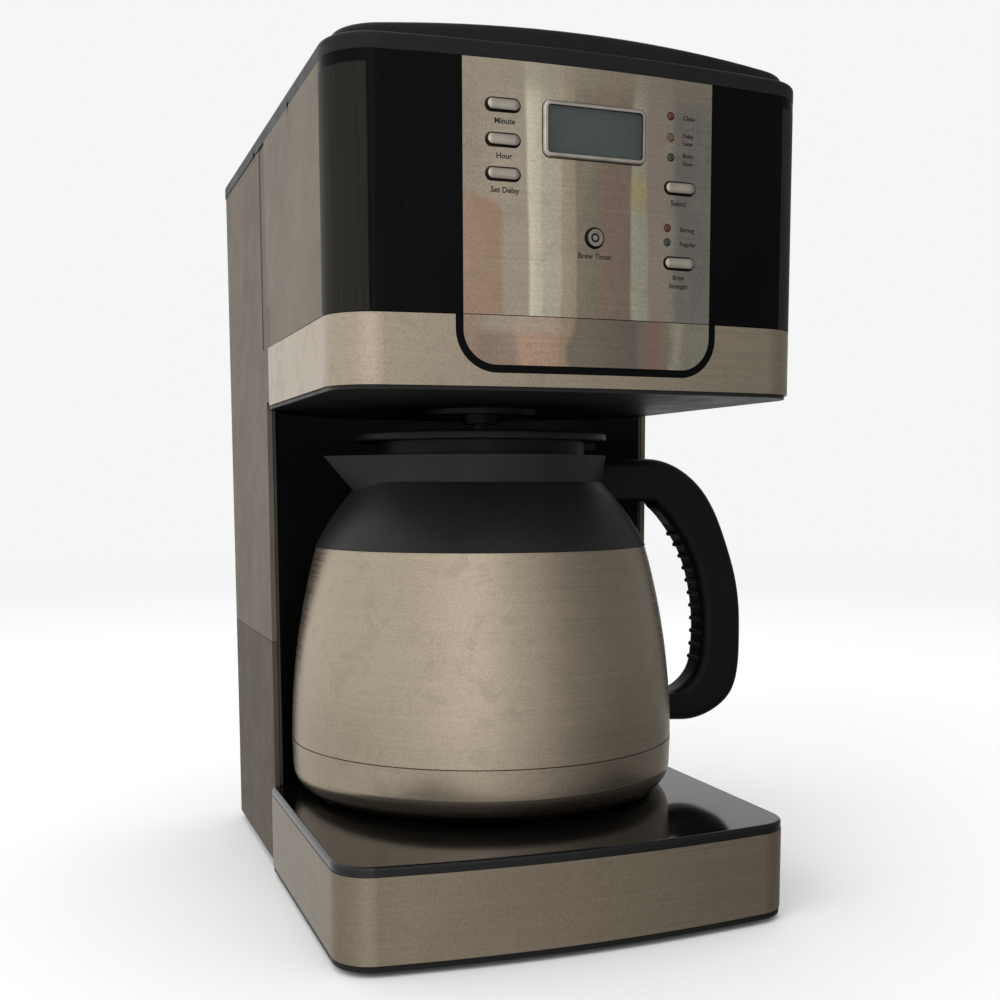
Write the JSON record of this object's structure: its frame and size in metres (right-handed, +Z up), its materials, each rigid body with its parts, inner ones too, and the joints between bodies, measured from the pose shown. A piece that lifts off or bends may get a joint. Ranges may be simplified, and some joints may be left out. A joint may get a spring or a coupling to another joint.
{
  "type": "drip coffee maker",
  "caption": "Drip coffee maker with a bowed head over a base, a rear water tower, a lidded thermal carafe with a side handle, and a control panel with display and push buttons.",
  "frame": {"origin": "on the worktop, at the bottom centre of the whole object's box, carafe handle included", "axes": "+Z up, front with the control panel faces -Y, carafe handle points to +X"},
  "size_m": [0.2442, 0.2882, 0.3645],
  "materials": {
    "gloss_black": "high gloss moulded black",
    "black_plastic": "fine moulded grain, satin",
    "black_fitting": "plain moulded",
    "grey_plastic": "warm grey, fine moulded grain",
    "brushed_steel": "brushed stainless, satin",
    "chrome": "polished plating",
    "button_satin": "satin plating",
    "steel_hardware": "plain steel",
    "display_glass": "grey-green display window",
    "display_module": "plain",
    "circuit_board": "solder mask",
    "switch_plastic": "plain",
    "led_red": "clear tinted lens",
    "led_amber": "clear tinted lens",
    "led_green": "clear tinted lens",
    "tank_plastic": "smoky translucent",
    "soft_rubber": "matte soft rubber",
    "silicone": "silicone",
    "cast_aluminium": "extruded, satin",
    "element_steel": "plain steel"
  },
  "bodies": {
    "machine": {"front_fascia": "gloss_black", "rest_plate": "gloss_black", "head_frame": "black_plastic", "head_floor": "black_plastic", "top_deck": "black_plastic", "basket_well": "black_plastic", "bay_wall": "black_plastic", "base_shell": "black_plastic", "bottom_cover": "black_plastic", "brew_basket": "black_fitting", "valve_cage": "black_fitting", "outlet_nozzle": "black_fitting", "check_valve": "black_fitting", "cord_gland": "black_fitting", "left_side_panel": "grey_plastic", "right_side_panel": "grey_plastic", "tower_upper": "grey_plastic", "tower_lower": "grey_plastic", "control_panel": "brushed_steel", "lower_panel": "brushed_steel", "trim_band": "brushed_steel", "base_skirt": "brushed_steel", "lcd_bezel": "chrome", "hinge_pins": "steel_hardware", "cover_screws": "steel_hardware", "valve_spring": "steel_hardware", "lcd_window": "display_glass", "lcd_module": "display_module", "control_board": "circuit_board", "power_board": "circuit_board", "tact_switches": "switch_plastic", "red_leds": "led_red", "amber_led": "led_amber", "green_leds": "led_green", "water_tank": "tank_plastic", "rubber_feet": "soft_rubber", "cold_hose": "silicone", "hot_hose": "silicone", "heater_block": "cast_aluminium", "heating_element": "element_steel", "thermostat": "element_steel"},
    "lid": {"lid_cover": "black_plastic", "lid_liner": "black_plastic", "shower_head": "black_fitting"},
    "carafe": {"carafe_shell": "brushed_steel", "carafe_liner": "brushed_steel", "carafe_base_cup": "brushed_steel", "carafe_collar": "black_plastic", "carafe_handle": "black_plastic", "handle_grip": "soft_rubber"},
    "carafe_lid": {"carafe_cap": "black_plastic", "carafe_plug": "black_plastic", "plug_gasket": "silicone"},
    "drip_stop": {"drip_valve": "black_fitting"},
    "body_minute_button": {"minute_button": "button_satin"},
    "body_hour_button": {"hour_button": "button_satin"},
    "body_delay_button": {"delay_button": "button_satin"},
    "body_select_button": {"select_button": "button_satin"},
    "body_strength_button": {"strength_button": "button_satin"},
    "body_timer_button": {"timer_button": "chrome"}
  },
  "joints": [
    {"name": "lid_hinge", "type": "hinge", "parent": "machine", "child": "lid", "pos_m": [-0.0207, 0.1231, 0.355], "axis": [-1, 0, 0], "range_deg": [0, 95]},
    {"name": "carafe_slide", "type": "slide", "parent": "machine", "child": "carafe", "axis": [0, -1, 0], "range_m": [0, 0.32]},
    {"name": "carafe_lid_turn", "type": "hinge", "parent": "carafe", "child": "carafe_lid", "pos_m": [-0.0207, -0.0109, 0.2], "axis": [0, 0, 1], "range_deg": [0, 60]},
    {"name": "drip_stop_lift", "type": "slide", "parent": "machine", "child": "drip_stop", "axis": [0, 0, 1], "range_m": [0, 0.004], "stiffness_N_per_m": 150, "deforming": ["valve_spring"]},
    {"name": "minute_button_press", "type": "slide", "parent": "machine", "child": "body_minute_button", "axis": [0, 1, 0], "range_m": [0, 0.0008], "stiffness_N_per_m": 600},
    {"name": "hour_button_press", "type": "slide", "parent": "machine", "child": "body_hour_button", "axis": [0, 1, 0], "range_m": [0, 0.0008], "stiffness_N_per_m": 600},
    {"name": "delay_button_press", "type": "slide", "parent": "machine", "child": "body_delay_button", "axis": [0, 1, 0], "range_m": [0, 0.0008], "stiffness_N_per_m": 600},
    {"name": "select_button_press", "type": "slide", "parent": "machine", "child": "body_select_button", "axis": [0, 1, 0], "range_m": [0, 0.0008], "stiffness_N_per_m": 600},
    {"name": "strength_button_press", "type": "slide", "parent": "machine", "child": "body_strength_button", "axis": [0, 1, 0], "range_m": [0, 0.0008], "stiffness_N_per_m": 600},
    {"name": "timer_button_press", "type": "slide", "parent": "machine", "child": "body_timer_button", "axis": [0, 1, 0], "range_m": [0, 0.0008], "stiffness_N_per_m": 600}
  ]
}
